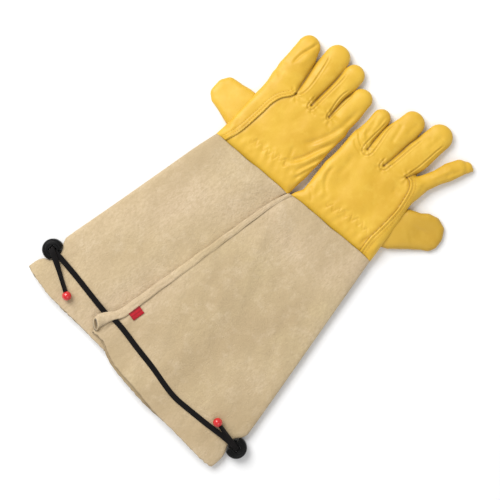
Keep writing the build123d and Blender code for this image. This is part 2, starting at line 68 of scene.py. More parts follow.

# A hand is described in (u, v): u towards the thumb, v from the wrist seam towards the fingertips.
# A finger is a chain of (u, v, half width, half height), index finger first. Gaps are the slits between
# fingers, seams the lines beside them, and a crease is (line, width, height). Sleeves, cuffs and bands are
# in the frame of the pair.
RIGHT = {
    "name": "right", "sign": -1, "wrist": (-73.0, 50.0),
    "palm": [(60.5, -3), (58, 18), (56.5, 45), (55, 67), (52.5, 93), (53, 106), (44, 113), (20, 110),
             (-30, 111), (-58, 114), (-65.5, 102), (-64.8, 78), (-63.1, 46.5), (-61.6, 25), (-58.5, -3)],
    "fingers": [
        [(35, 78, 17, 8.6), (34.8, 102, 19, 8.7), (37.2, 121, 19.4, 8.4), (39, 145, 16.9, 8.0),
         (41.2, 158.5, 14.8, 7.3)],
        [(3.2, 78, 11, 8.4), (3.3, 102, 12.6, 8.6), (3.9, 120, 14.5, 8.4), (4.2, 150, 17, 8.0),
         (4.6, 171.5, 16.2, 7.4)],
        [(-22.4, 80, 11, 8.4), (-22.3, 103, 13.4, 8.6), (-22.8, 118, 13.6, 8.3), (-24, 138, 12.8, 8.0),
         (-25.3, 158, 13.6, 7.7), (-26, 168, 13.4, 7.2)],
        [(-48, 80, 12, 8.2), (-50, 102, 15.2, 8.4), (-50.7, 116, 15.6, 8.2), (-51.6, 134, 15.0, 7.8),
         (-52.8, 150.5, 13.6, 7.2)]],
    "gaps": [
        [(15.6, 101.5), (17.6, 120), (20.6, 146), (21.6, 156), (24.5, 168), (25.5, 185)],
        [(-9.1, 103.5), (-9.4, 115), (-11.4, 135), (-12.3, 152), (-11.9, 169), (-11.5, 185)],
        [(-35.4, 106.5), (-35.6, 120), (-36.0, 136), (-38.8, 149), (-41.0, 165)]],
    "seams": [
        [(14, 166), (11.6, 159), (9.0, 141), (7.4, 121), (9.6, 107), (14.6, 101.6)],
        [(-5.2, 117), (-5.0, 106), (-5.6, 99.6), (-9.1, 97.6), (-13.4, 99.6), (-14.4, 106), (-15.0, 118),
         (-17.0, 136), (-18.2, 152), (-17.6, 164)],
        [(-33.4, 150), (-30.6, 139), (-30.2, 128), (-31.6, 116), (-32.2, 107), (-35.4, 102.4), (-37.6, 107),
         (-37.8, 117), (-39.2, 131), (-41.2, 147)],
        [(46.5, -3), (40.6, 18.2), (36.8, 38.5)]],
    "thumb": [(50, 21), (77, 25.7), (93, 30), (99.5, 37), (99, 55), (92, 64.5), (70, 66.5), (50, 66.5)],
    "thumb_round": 9.0,
    "strip": [(15.7, 102.5), (17.6, 96.5), (26.2, 85.4), (30.6, 72.3), (32.2, 58), (34.9, 38.5),
              (38.8, 18.2), (46.3, -3)],
    "creases": [
        ([(33.5, 172), (37.6, 157), (42.0, 143), (43.6, 126)], 2.2, -2.1),
        ([(30, 160), (33.5, 146), (36, 130)], 4.0, 0.9),
        ([(52, 150), (51, 135), (49, 120)], 4.0, -0.9),
        ([(38.5, 171), (41.5, 158), (46.5, 146)], 3.0, 0.9),
        ([(26, 128), (29, 115), (30, 100)], 7.0, -0.7),
        ([(46, 118), (47, 100), (43, 84)], 6.0, -0.9),
        ([(-60, 144), (-55.5, 104), (-42, 72), (-28, 55)], 3.8, -2.1),
        ([(-63, 132), (-60, 100), (-49, 74), (-37, 58)], 3.6, 1.2),
        ([(-65, 92), (-50.5, 62), (-42.2, 44), (-29, 26)], 3.0, -2.6),
        ([(-66, 82), (-54, 56), (-46, 40), (-36, 25)], 3.0, 1.5),
        ([(-65, 70), (-55, 44), (-45, 22)], 2.8, -2.3),
        ([(-64, 58), (-57, 40), (-50, 22)], 2.6, 1.2),
        ([(-64, 50), (-56, 32), (-52, 16)], 2.4, -1.7),
        ([(-24, 52), (-30, 36), (-33, 20)], 3.0, -1.0),
        ([(6, 128), (8, 140), (6.5, 158)], 3.4, -0.7),
        ([(-22, 120), (-23, 135), (-22, 150)], 3.4, -0.6),
        ([(12, 94), (4, 97), (-2, 96)], 2.4, -0.7),
        ([(-12, 97), (-17, 95), (-22, 97)], 2.0, -0.6),
        ([(-38, 100), (-43, 95), (-49, 94)], 2.2, -0.7)],
    "pucker": [(24, 21), (12, 23.5), (0, 23), (-12, 24.5), (-25, 26.5), (-40, 24)],
    "sleeve_outer": [(-133, 43), (-139.5, 10), (-148, -45), (-159, -115), (-169.3, -178), (-169.2, -188),
                     (-166.4, -194.5), (-162.2, -200), (-160.8, -207), (-161.6, -214), (-165, -219.6),
                     (-171, -223), (-175.2, -231), (-177.3, -243)],
    "sleeve_inner": [(-15.5, 57), (-18.5, 48), (-17.5, 38), (-14, 24), (-7, 2), (4, -45), (16, -120),
                     (26, -180), (31, -215), (37, -237), (38, -251)],
    "cuff": [(-177.3, -243), (-162.5, -247), (-113, -251), (-51, -249), (38, -251)],
    "band_y": [(-165, -207.2), (-124, -209.4), (-70, -214.8), (35, -217.2)],
    "under_band_y": [(-165, -207.3), (-82, -211.2), (34, -217)],
}
LEFT = {
    "name": "left", "sign": 1, "wrist": (52.0, 65.0),
    "palm": [(66.8, -3), (65.2, 20), (65.3, 34.5), (63.1, 62), (60.5, 79), (60.0, 92), (61.5, 110),
             (54, 118), (20, 112), (-20, 112), (-45, 116), (-52.5, 112), (-54.6, 86), (-57.8, 60),
             (-57.4, 45), (-56.6, 28), (-57, 14), (-62.5, 5), (-64.8, -3)],
    "fingers": [
        [(44, 92, 13, 8.0), (48.5, 104, 13.0, 8.4), (54.5, 117, 10.6, 8.2), (63.0, 133.5, 9.8, 7.8),
         (70.5, 149.5, 11.4, 7.4), (77.0, 161.5, 10.6, 6.6), (84.5, 168.3, 7.4, 5.2),
         (89.5, 170.3, 3.8, 3.4), (93.0, 170.0, 1.2, 1.6)],
        [(18, 80, 13, 8.4), (18.4, 104, 15.4, 8.6), (22.9, 120, 17.6, 8.5), (26.8, 136, 18.6, 8.2),
         (29.8, 155, 17.8, 7.9), (33.2, 175.6, 16.6, 7.3)],
        [(-12, 80, 12, 8.4), (-12.6, 103, 15.0, 8.6), (-11.1, 117, 17.0, 8.5), (-10, 131, 17.9, 8.2),
         (-6.9, 149, 17.6, 7.9), (-4.2, 166.5, 15.8, 7.3)],
        [(-39, 80, 12, 8.2), (-40.2, 101, 13.6, 8.4), (-39.8, 115, 12.7, 8.1), (-39.0, 131, 12.0, 7.7),
         (-38.7, 146.5, 11.8, 7.1)]],
    "gaps": [
        [(33.8, 109.3), (38.2, 117.4), (44.4, 127.4), (50, 145), (54, 170), (56, 190)],
        [(2.1, 102), (6.1, 122.5), (9.0, 144), (12.6, 158), (14, 176), (15, 190)],
        [(-26.9, 104.5), (-27.6, 117), (-27.5, 131), (-26.4, 151), (-24, 170)]],
    "seams": [
        [(44, 171), (41.2, 158), (39.2, 144), (36.4, 128), (32.2, 113), (29.8, 104)],
        [(-2.4, 113), (-3.4, 103), (-1.4, 97.4), (3.2, 96.0), (7.0, 99.5), (8.6, 107), (11.6, 122),
         (15.0, 142), (18.6, 158)],
        [(-30.4, 150), (-31.0, 137), (-32.6, 121), (-33.3, 105), (-31, 98.6), (-26.4, 96.8), (-21.8, 98.9),
         (-19.6, 105.4), (-20.6, 121.4), (-22.6, 139), (-21.6, 152)]],
    "thumb": [(55, 22), (66.2, 25.8), (89.4, 41.1), (108.5, 54.6), (115.6, 60), (118.6, 67), (117.6, 78.5),
              (111, 90), (100, 94.5), (88, 92.5), (77.7, 86), (60, 77), (50, 60)],
    "thumb_round": 7.0,
    "strip": [(34, 109.5), (40.0, 107.2), (45.4, 99.5), (48.6, 84.3), (50.2, 70), (49.6, 53), (48, 35),
              (46.3, 18), (48.3, -3)],
    "creases": [
        ([(-50, 106), (-42, 99), (-34, 96.5), (-26, 95)], 2.0, -1.2),
        ([(-50.5, 116), (-44, 108), (-36, 103), (-32, 98)], 1.8, -1.3),
        ([(-49, 126), (-43, 117), (-37, 110)], 2.4, 0.8),
        ([(-46, 150), (-43, 138), (-44, 124)], 2.4, -0.8),
        ([(-45, 64), (-45.5, 50), (-40, 37), (-30, 27)], 2.8, -1.3),
        ([(-50, 60), (-50, 46), (-45, 33)], 2.6, 0.8),
        ([(-27, 88), (-24, 62), (-20, 30)], 11.0, -1.2),
        ([(26, 70), (27, 48), (25, 32)], 9.0, -0.7),
        ([(-36, 92), (-34, 72), (-36, 52)], 4.5, -1.1),
        ([(-14, 160), (-11, 146), (-9, 128)], 3.2, -1.2),
        ([(2, 172), (0, 160), (0, 146)], 3.4, -0.8),
        ([(-41, 140), (-40, 126), (-41, 114)], 3.0, -1.3),
        ([(-36, 152), (-34.5, 138), (-35, 124)], 2.2, -1.0),
        ([(36, 182), (34, 168), (32, 150)], 3.6, -0.9),
        ([(46, 96), (38, 88), (28, 86)], 5.0, -0.8),
        ([(-10, 98), (-5, 96), (3, 96), (10, 98)], 2.2, -0.6),
        ([(18, 150), (24, 162), (30, 168)], 4.0, -0.7),
        ([(70, 140), (77, 153), (83, 161)], 2.6, -1.0),
        ([(57, 124), (66, 142), (72, 158)], 2.6, 0.8),
        ([(56, 118), (59, 104), (57, 90)], 3.2, -0.9),
        ([(-54, 24), (-46, 17), (-38, 6)], 2.4, -1.0),
        ([(46, 22), (43, 12), (44, 3)], 2.2, -1.0),
        ([(84, 50), (90, 60), (88, 74)], 9.0, -0.8)],
    "pucker": [(-24, 19), (-10, 21), (4, 24), (18, 25.5), (31, 25.5), (41, 23)],
    "sleeve_outer": [(118, 71), (127, 25), (139.5, -40), (155, -120), (167.3, -186), (167.8, -196),
                     (165.2, -202.5), (161.2, -208), (159.9, -215), (161, -222), (164.4, -228),
                     (166.5, -236), (166.8, -245), (166, -254)],
    "sleeve_inner": [(-14.3, 58), (-21, 40), (-25, 20), (-34, -40), (-46, -120), (-55.5, -185), (-60, -209),
                     (-62, -225), (-62.5, -236), (-62, -243)],
    "cuff": [(-62, -243), (-50, -241.5), (-40.5, -242.5), (-10.6, -252), (58.6, -256), (111.6, -257.6),
             (150, -256), (166, -254)],
    "band_y": [(-62, -212.1), (-4, -217.0), (28, -220.0), (49, -223.6), (69, -225.6), (90, -224.1),
               (122, -220.2), (165, -215)],
    "under_band_y": [(-62, -212.1), (53, -213.5), (165, -215)],
}

# ---- routes of the elastics, as control points, from each lock round its sleeve and back ----
RIGHT["drawcord"] = [
    (-168.4, -207.2, 8.0), (-168.4, -207.2, 18.4), (-154.0, -207.3, 17.0), (-124.0, -209.4, 16.1),
    (-92.0, -212.8, 16.0), (-71.0, -214.8, 14.6), (-24.0, -216.8, 12.8), (10.0, -217.1, 12.6),
    (34.2, -217.0, 12.4), (34.6, -217.0, 1.5), (12.0, -216.9, 1.5), (-30.0, -214.2, 1.4),
    (-82.0, -211.2, 1.5), (-132.0, -209.0, 1.4), (-160.0, -207.3, 1.5), (-172.6, -207.2, 1.4),
    (-172.6, -207.2, 7.4)]
LEFT["drawcord"] = [
    (167.7, -215.0, 8.0), (167.7, -215.0, 18.4), (152.0, -215.6, 17.0), (122.0, -220.4, 16.1),
    (92.0, -224.0, 16.2), (70.0, -226.4, 16.8), (49.0, -223.9, 17.8), (24.0, -219.4, 18.9),
    (-8.0, -216.6, 19.5), (-38.0, -212.4, 19.6), (-62.8, -212.1, 19.6), (-63.0, -212.1, 14.7),
    (-34.0, -212.2, 14.7), (4.0, -212.9, 14.7), (34.0, -213.2, 14.4), (62.0, -213.5, 1.6),
    (90.0, -213.9, 1.4), (128.0, -214.5, 1.5), (160.0, -215.0, 1.4), (171.9, -215.0, 1.4),
    (171.9, -215.0, 7.4)]
RIGHT["tail"] = [
    (-172.8, -207.2, 9.4), (-172.8, -207.2, 21.6), (-157.0, -213.8, 20.6), (-137.0, -224.2, 19.6),
    (-116.0, -234.5, 21.8)]
LEFT["tail"] = [
    (172.1, -215.0, 9.4), (172.1, -215.0, 21.8), (157.0, -213.2, 21.0), (142.0, -210.0, 20.4),
    (130.3, -208.5, 21.8)]
RIGHT["lock"] = (-171.0, -207.2, 2.6)
LEFT["lock"] = (170.3, -215.0, 2.6)


# ---- small tools ----
def place(glove, u, v, z):
    """Points in a glove's own directions, in metres in the frame of the pair."""
    x = glove["sign"] * np.asarray(u, float)
    v = np.asarray(v, float)
    wx, wy = glove["wrist"]
    fx = wx + x * math.cos(TILT) - v * math.sin(TILT)
    fy = wy + x * math.sin(TILT) + v * math.cos(TILT)
    return np.stack([fx, fy, np.broadcast_to(z, fx.shape)], -1) * MM


def ramp(value, start, width):
    """0 before start, 1 after start + width, smooth between."""
    t = np.clip((value - start) / width, 0.0, 1.0)
    return t * t * (3 - 2 * t)


def hill(distance, width):
    """1 at distance 0, falling away to either side over about the width."""
    return np.exp(-(distance / width) ** 2)


def smooth_line(points, step=1.5):
    """Points close together on a smooth line through the given ones."""
    given = np.array(points, float)
    extended = np.vstack([2 * given[0] - given[1], given, 2 * given[-1] - given[-2]])
    made = []
    for p0, p1, p2, p3 in zip(extended, extended[1:], extended[2:], extended[3:]):
        count = max(2, int(np.linalg.norm(p2 - p1) / step))
        for t in np.arange(count) / count:
            made.append(0.5 * (2 * p1 + (p2 - p0) * t + (2 * p0 - 5 * p1 + 4 * p2 - p3) * t ** 2
                               + (3 * p1 - p0 - 3 * p2 + p3) * t ** 3))
    made.append(given[-1])
    return np.array(made)


def near_line(points, line):
    """For (n, 2) points: distance to a line, place along it from 0 to 1, and side of it (+1 is left)."""
    best = np.full(len(points), 1e9)
    along = np.zeros(len(points))
    side = np.ones(len(points))
    lengths = np.linalg.norm(np.diff(line, axis=0), axis=1)
    before = np.concatenate([[0], np.cumsum(lengths)])
    for k, (a, b) in enumerate(zip(line, line[1:])):
        run = b - a
        t = np.clip(((points - a) @ run) / (run @ run), 0, 1)
        off = points - (a + t[:, None] * run)
        distance = np.hypot(off[:, 0], off[:, 1])
        closer = distance < best
        best[closer] = distance[closer]
        along[closer] = (before[k] + t[closer] * lengths[k]) / before[-1]
        cross = run[0] * off[:, 1] - run[1] * off[:, 0]
        side[closer] = np.where(cross[closer] >= 0, 1.0, -1.0)
    return best, along, side


def inside_depth(points, outline):
    """Depth of (n, 2) points inside a closed outline, negative outside."""
    closed = np.vstack([outline, outline[:1]])
    distance = near_line(points, closed)[0]
    x, y = points[:, 0], points[:, 1]
    inside = np.zeros(len(points), bool)
    for (x1, y1), (x2, y2) in zip(closed, closed[1:]):
        crosses = (y1 > y) != (y2 > y)
        if y1 != y2:
            inside ^= crosses & (x < (x2 - x1) * (y - y1) / (y2 - y1) + x1)
    return np.where(inside, distance, -distance)


def wobble(points, size, seed):
    """Smooth irregular values, about -1 to 1, that change over about the given size."""
    rng = np.random.default_rng(seed)
    total = np.zeros(len(points))
    for _ in range(7):
        direction = rng.normal(size=points.shape[1])
        direction *= rng.uniform(0.6, 1.5) / np.linalg.norm(direction)
        total += np.sin(points @ direction * (2 * math.pi / size) + rng.uniform(0, 2 * math.pi))
    return total / 3.2


def soft_min(a, b, reach):
    """Smaller of two fields, rounded where they meet."""
    h = np.clip(reach - np.abs(a - b), 0, None) / reach
    return np.minimum(a, b) - h * h * reach / 4


def make_object(name, points, faces, material):
    """Smooth mesh object from points in metres."""
    mesh = bpy.data.meshes.new(name)
    mesh.from_pydata([tuple(p) for p in points], [], [tuple(int(i) for i in f) for f in faces])
    mesh.update()
    mesh.polygons.foreach_set("use_smooth", np.ones(len(mesh.polygons), bool))
    mesh.materials.append(material)
    made = bpy.data.objects.new(name, mesh)
    bpy.context.scene.collection.objects.link(made)
    return made


def stand_in(made, slot, *nodes):
    """Hides the CAD nodes that a piece takes the place of; made and slot are not used."""
    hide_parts(*nodes)


def tube_faces(rings, count, start=0, turned=False):
    """Four-cornered faces between neighbouring closed rings of points; turned faces look the other way."""
    i, k = np.meshgrid(np.arange(rings - 1), np.arange(count), indexing="ij")
    a = (i * count + k + start).ravel()
    b = (i * count + (k + 1) % count + start).ravel()
    return np.stack([a, a + count, b + count, b] if turned else [a, b, b + count, a + count], -1)


def closed_tube(rings, count, start=0, turned=False):
    """Faces of a tube with both ends closed."""
    first, last = np.arange(count) + start, np.arange(count) + (rings - 1) * count + start
    ends = [first, last[::-1]] if turned else [first[::-1], last]
    return [*tube_faces(rings, count, start, turned), *ends]


def along_line(line, s):
    """Points at distances s along a line."""
    steps = np.concatenate([[0], np.cumsum(np.linalg.norm(np.diff(line, axis=0), axis=1))])
    return np.stack([np.interp(s, steps, line[:, 0]), np.interp(s, steps, line[:, 1])], -1), steps[-1]


def set_shade(made, values):
    """Stores how much each vertex is darkened by painted shade, in seams, slits, hollows and linings."""
    attribute = made.data.attributes.new("shade", "FLOAT", "POINT")
    attribute.data.foreach_set("value", np.asarray(values, np.float32))


def chosen_faces(points, faces, keep):
    """Only the faces marked, with the points that they use; returns also the points' old numbers."""
    part = faces[keep]
    used = np.unique(part)
    renumber = np.full(len(points), -1)
    renumber[used] = np.arange(len(used))
    return points[used], renumber[part], used


# ---- materials ----
def link(tree, a, b):
    tree.links.new(a, b)


def feed(tree, socket, value):
    """Links a socket's source, or sets its number or colour."""
    if isinstance(value, bpy.types.NodeSocket):
        link(tree, value, socket)
    else:
        socket.default_value = value


def mix_colour(tree, factor, a, b):
    node = tree.nodes.new("ShaderNodeMix")
    node.data_type = "RGBA"
    for number, value in ((0, factor), (6, a), (7, b)):
        feed(tree, node.inputs[number], value)
    return node.outputs[2]


def noise(tree, vector, scale, detail=3.0, roughness=0.55):
    node = tree.nodes.new("ShaderNodeTexNoise")
    node.inputs["Scale"].default_value = scale
    node.inputs["Detail"].default_value = detail
    node.inputs["Roughness"].default_value = roughness
    link(tree, vector, node.inputs["Vector"])
    return node.outputs["Fac"]


def band_of(tree, value, low, high, out_low=0.0, out_high=1.0):
    node = tree.nodes.new("ShaderNodeMapRange")
    for key, number in (("From Min", low), ("From Max", high), ("To Min", out_low), ("To Max", out_high)):
        node.inputs[key].default_value = number
    link(tree, value, node.inputs["Value"])
    return node.outputs["Result"]


def math_node(tree, kind, a, b):
    node = tree.nodes.new("ShaderNodeMath")
    node.operation = kind
    for socket, value in zip(node.inputs, (a, b)):
        feed(tree, socket, value)
    return node.outputs[0]


def times(colour, factor):
    """The colour, darker or lighter."""
    return tuple(factor * c for c in colour[:3]) + (1,)


def bump(tree, height, strength, distance, normal=None):
    node = tree.nodes.new("ShaderNodeBump")
    node.inputs["Strength"].default_value = strength
    node.inputs["Distance"].default_value = distance
    link(tree, height, node.inputs["Height"])
    if normal is not None:
        link(tree, normal, node.inputs["Normal"])
    return node.outputs["Normal"]


def new_material(name, roughness, sheen=0.0, coat=0.0, specular=0.5):
    material = bpy.data.materials.new(name)
    material.use_nodes = True
    tree = material.node_tree
    shader = tree.nodes["Principled BSDF"]
    shader.inputs["Roughness"].default_value = roughness
    shader.inputs["Sheen Weight"].default_value = sheen
    shader.inputs["Sheen Roughness"].default_value = 0.5
    shader.inputs["Coat Weight"].default_value = coat
    shader.inputs["Coat Roughness"].default_value = 0.12
    shader.inputs["Specular IOR Level"].default_value = specular
    coordinates = tree.nodes.new("ShaderNodeTexCoord").outputs["Object"]
    return material, tree, shader, coordinates


def seam_shade(tree, colour, dark):
    """Colour darkened where the mesh's shade attribute says."""
    attribute = tree.nodes.new("ShaderNodeAttribute")
    attribute.attribute_name = "shade"
    return mix_colour(tree, attribute.outputs["Fac"], colour, dark)


def leather_material(name, base, deep, pale):
    """Smooth yellow grain leather, a little mottled, with fine pores."""
    material, tree, shader, where = new_material(name, 0.5, specular=0.42)
    large = band_of(tree, noise(tree, where, 22, 2), 0.35, 0.68)
    colour = mix_colour(tree, large, base, deep)
    small = band_of(tree, noise(tree, where, 95, 3), 0.5, 0.78, 0.0, 0.55)
    colour = mix_colour(tree, small, colour, pale)
    # painted shade: dark brown wherever the shade attribute marks seams, slits, hollows and the shaded thumb
    colour = seam_shade(tree, colour, (0.22, 0.105, 0.008, 1))
    link(tree, colour, shader.inputs["Base Color"])
    cells = tree.nodes.new("ShaderNodeTexVoronoi")
    cells.inputs["Scale"].default_value = 1150
    link(tree, where, cells.inputs["Vector"])
    grain = bump(tree, cells.outputs["Distance"], 0.10, 0.0004)
    creased = bump(tree, noise(tree, where, 260, 4, 0.65), 0.16, 0.0008, grain)
    link(tree, creased, shader.inputs["Normal"])
    rough = band_of(tree, noise(tree, where, 60, 3), 0.3, 0.7, 0.42, 0.58)
    link(tree, rough, shader.inputs["Roughness"])
    return material


def suede_material(name, base, deep, pale):
    """Split suede: brushed patches, short nap, sparse pink and brown specks."""
    material, tree, shader, where = new_material(name, 0.95, sheen=0.25, specular=0.12)
    stretch = tree.nodes.new("ShaderNodeMapping")
    stretch.inputs["Scale"].default_value = (1.0, 0.45, 1.0)
    stretch.inputs["Rotation"].default_value = (0, 0, 0.35)
    link(tree, where, stretch.inputs["Vector"])
    brushed = stretch.outputs["Vector"]
    drift = band_of(tree, noise(tree, where, 6.5, 2, 0.5), 0.38, 0.62)
    colour = mix_colour(tree, drift, base, tuple(c * k for c, k in zip(base, (0.97, 0.99, 0.86, 1))))
    patches = band_of(tree, noise(tree, brushed, 17, 4, 0.6), 0.36, 0.66)
    colour = mix_colour(tree, patches, colour, deep)
    light = band_of(tree, noise(tree, where, 48, 4, 0.7), 0.5, 0.78, 0, 0.55)
    colour = mix_colour(tree, light, colour, pale)
    nap = band_of(tree, noise(tree, brushed, 420, 3, 0.7), 0.35, 0.7, 0, 0.75)
    colour = mix_colour(tree, nap, colour, deep)
    pink = band_of(tree, noise(tree, where, 400, 2, 0.5), 0.68, 0.78, 0, 0.35)
    colour = mix_colour(tree, pink, colour, (0.55, 0.33, 0.22, 1))
    # painted shade: dark brown at the wrist join, on the linings and along the strip's seam, where the shade
    # attribute says
    colour = seam_shade(tree, colour, (0.13, 0.085, 0.04, 1))
    link(tree, colour, shader.inputs["Base Color"])
    height = math_node(tree, "ADD", noise(tree, brushed, 800, 4, 0.7), noise(tree, where, 210, 4, 0.7))
    link(tree, bump(tree, height, 0.6, 0.0016), shader.inputs["Normal"])
    return material


def elastic_material(name, colour, ribs):
    """Flat woven elastic with fine lengthwise ribs."""
    material, tree, shader, where = new_material(name, 0.85, sheen=0.03, specular=0.12)
    wave = tree.nodes.new("ShaderNodeTexWave")
    wave.bands_direction = "Y"
    wave.inputs["Scale"].default_value = ribs
    wave.inputs["Distortion"].default_value = 0.6
    wave.inputs["Detail"].default_value = 2.0
    link(tree, where, wave.inputs["Vector"])
    fuzz = math_node(tree, "MULTIPLY", noise(tree, where, 1500, 3), 0.7)
    height = math_node(tree, "ADD", wave.outputs["Fac"], fuzz)
    worn = band_of(tree, noise(tree, where, 700, 3), 0.5, 0.8, 0, 0.5)
    tone = mix_colour(tree, worn, colour, times(colour, 2.2))
    link(tree, tone, shader.inputs["Base Color"])
    link(tree, bump(tree, height, 0.5, 0.0006), shader.inputs["Normal"])
    return material


def plastic_material(name, colour, roughness, coat, grain, specular=0.5):
    """Moulded plastic with slight unevenness."""
    material, tree, shader, where = new_material(name, roughness, coat=coat, specular=specular)
    uneven = band_of(tree, noise(tree, where, 300, 2), 0.3, 0.8, 0, 0.25)
    tone = mix_colour(tree, uneven, colour, times(colour, 0.6))
    link(tree, tone, shader.inputs["Base Color"])
    link(tree, bump(tree, noise(tree, where, grain, 3), 0.08, 0.0003), shader.inputs["Normal"])
    return material


def tape_material(name, colour):
    """Plain woven tape: fine crossed threads."""
    material, tree, shader, where = new_material(name, 0.7, sheen=0.15, specular=0.3)
    waves = []
    for direction in ("X", "Y"):
        wave = tree.nodes.new("ShaderNodeTexWave")
        wave.bands_direction = direction
        wave.inputs["Scale"].default_value = 700
        link(tree, where, wave.inputs["Vector"])
        waves.append(wave.outputs["Fac"])
    uneven = band_of(tree, noise(tree, where, 500, 2), 0.35, 0.75, 0, 0.5)
    tone = mix_colour(tree, uneven, colour, times(colour, 0.55))
    # painted shade: dark red where the shade attribute marks the strip's shadow and the pressed crease
    tone = seam_shade(tree, tone, (0.10, 0.004, 0.004, 1))
    link(tree, tone, shader.inputs["Base Color"])
    link(tree, bump(tree, math_node(tree, "MULTIPLY", *waves), 0.4, 0.0003), shader.inputs["Normal"])
    return material


def metal_material(name, colour):
    """Bright wire, a little uneven."""
    material, tree, shader, where = new_material(name, 0.3)
    shader.inputs["Metallic"].default_value = 1.0
    tone = mix_colour(tree, noise(tree, where, 400, 2), colour, times(colour, 0.8))
    link(tree, tone, shader.inputs["Base Color"])
    return material


leather = leather_material("grain_leather",
                           (0.705, 0.43, 0.038, 1), (0.64, 0.37, 0.025, 1), (0.76, 0.49, 0.058, 1))
thread = leather_material("sewing_thread",
                          (0.70, 0.42, 0.05, 1), (0.62, 0.35, 0.035, 1), (0.78, 0.52, 0.10, 1))
suede = suede_material("split_suede",
                       (0.635, 0.495, 0.328, 1), (0.475, 0.36, 0.21, 1), (0.74, 0.605, 0.425, 1))
suede_edge = suede_material("suede_cut_edge",
                            (0.74, 0.60, 0.39, 1), (0.66, 0.50, 0.30, 1), (0.82, 0.69, 0.48, 1))
black_elastic = elastic_material("black_elastic", (0.0065, 0.0055, 0.0055, 1), 150)
red_plastic = plastic_material("red_bead_plastic", (0.62, 0.012, 0.014, 1), 0.22, 0.6, 500)
black_plastic = plastic_material("black_lock_plastic", (0.003, 0.003, 0.003, 1), 0.36, 0.0, 900, 0.16)
red_tape = tape_material("red_tape", (0.50, 0.006, 0.018, 1))
steel = metal_material("spring_wire", (0.6, 0.6, 0.6, 1))


# ---- camera, straight above, turned so that the fingers point up and to the right ----
CAMERA_H = 2.2
VIEW_SIDE = 0.635             # side of the square that the picture shows
VIEW_CENTRE = (0.0025, -0.0286)
VIEW_TURN = math.radians(46)
SENSOR = 36.0
camera_data = bpy.data.cameras.new("camera")
camera_data.sensor_width = SENSOR
camera_data.lens = SENSOR * CAMERA_H / VIEW_SIDE
camera = bpy.data.objects.new("camera", camera_data)
camera.location = (*VIEW_CENTRE, CAMERA_H)
camera.rotation_euler = (0, 0, VIEW_TURN)
bpy.context.scene.collection.objects.link(camera)
bpy.context.scene.camera = camera


# ---- elastics ----
def route_points(name, points):
    """Points on the smooth route whose control points are given, as an (n, 3) array in metres."""
    curve = bpy.data.curves.new(name, "CURVE")
    curve.dimensions = "3D"
    curve.resolution_u = 14
    spline = curve.splines.new("NURBS")
    spline.points.add(len(points) - 1)
    for point, place_mm in zip(spline.points, points):
        point.co = (*[c * MM for c in place_mm], 1.0)
    spline.order_u = 3
    spline.use_endpoint_u = True
    holder = bpy.data.objects.new(name, curve)
    bpy.context.scene.collection.objects.link(holder)
    bpy.context.view_layer.update()
    line = bpy.data.meshes.new_from_object(holder)
    route = np.array([v.co for v in line.vertices])
    bpy.data.objects.remove(holder)
    bpy.data.curves.remove(curve)
    bpy.data.meshes.remove(line)
    return route


def rounded_section(width, thickness, count=20, power=3.6):
    """(across, up) points of a flat section with rounded edges."""
    angles = np.arange(count) * 2 * math.pi / count
    c, s = np.cos(angles), np.sin(angles)
    return np.stack([width / 2 * np.sign(c) * np.abs(c) ** (2 / power),
                     thickness / 2 * np.sign(s) * np.abs(s) ** (2 / power)], -1)


def strap(route, thickness, twist=0.0, lift=0.0):
    """Points and faces of flat elastic along a route, its width along Y, turning by twist towards its end."""
    tangents = np.gradient(route, axis=0)
    tangents /= np.linalg.norm(tangents, axis=1)[:, None]
    normals = np.cross(tangents, (0, 1, 0))
    normals /= np.linalg.norm(normals, axis=1)[:, None]
    across = np.cross(normals, tangents)
    angle = twist * ramp(np.linspace(0, 1, len(route)), 0.15, 0.7)
    side = across * np.cos(angle)[:, None] + normals * np.sin(angle)[:, None]
    up = normals * np.cos(angle)[:, None] - across * np.sin(angle)[:, None]
    section = rounded_section(BAND_W * MM, thickness)
    rings = (route[:, None] + side[:, None] * section[None, :, :1]
             + up[:, None] * (section[None, :, 1:] + lift))
    return rings.reshape(-1, 3), closed_tube(len(route), len(section))


def declare_cord(made, route, node, **facts):
    """Hides the CAD node that a piece of elastic stands in for; route and facts are not used."""
    stand_in(made, "black_elastic", node)


def drawcord(glove):
    """The elastic that goes round the sleeve near its cuff."""
    name = glove["name"]
    route = route_points(name, glove["drawcord"])
    made = make_object(f"{name}_elastic_drawcord", *strap(route, BAND_T * MM), black_elastic)
    declare_cord(made, route, f"{name}_drawcord", far_end="object", lay="taut")
    return made


def tail(glove):
    """The elastic's two ends, one on the other, turning on edge where they enter the bead."""
    name = glove["name"]
    route = route_points(name, glove["tail"])
    all_points, all_faces = [], []
    for lift in (-0.98, 0.98):
        points, faces = strap(route, 1.75 * MM, twist=glove["sign"] * 1.25, lift=lift * MM)
        start = sum(len(p) for p in all_points)
        all_points.append(points)
        all_faces += [np.asarray(face) + start for face in faces]
    made = make_object(f"{name}_elastic_tail", np.vstack(all_points), all_faces, black_elastic)
    declare_cord(made, route, f"{name}_drawcord_tail", far_end="fitting", lay="loose",
                 with_pieces=[f"{name}_bead"])
    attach(made, f"{name}_lock")


# ---- hands ----
def rounded(a, b, power):
    """1 on a rounded rectangle of half sizes 1, more outside it."""
    return (a ** power + b ** power) ** (1 / power)


def finger_field(U, V, Z, chain):
    """About the distance in mm outside a flattened, tapered finger."""
    best = np.full(U.shape, 1e9)
    for (u0, v0, r0, h0), (u1, v1, r1, h1) in zip(chain, chain[1:]):
        run = np.array([u1 - u0, v1 - v0], float)
        t = np.clip(((U - u0) * run[0] + (V - v0) * run[1]) / (run @ run), 0, 1)
        radius = r0 + (r1 - r0) * t
        half = h0 + (h1 - h0) * t
        outward = np.hypot(U - u0 - t * run[0], V - v0 - t * run[1]) / radius
        upward = np.abs(Z - REST_GAP - half) / half
        best = np.minimum(best, (rounded(outward, upward, FINGER_POWER) - 1) * np.minimum(half, radius))
    return best


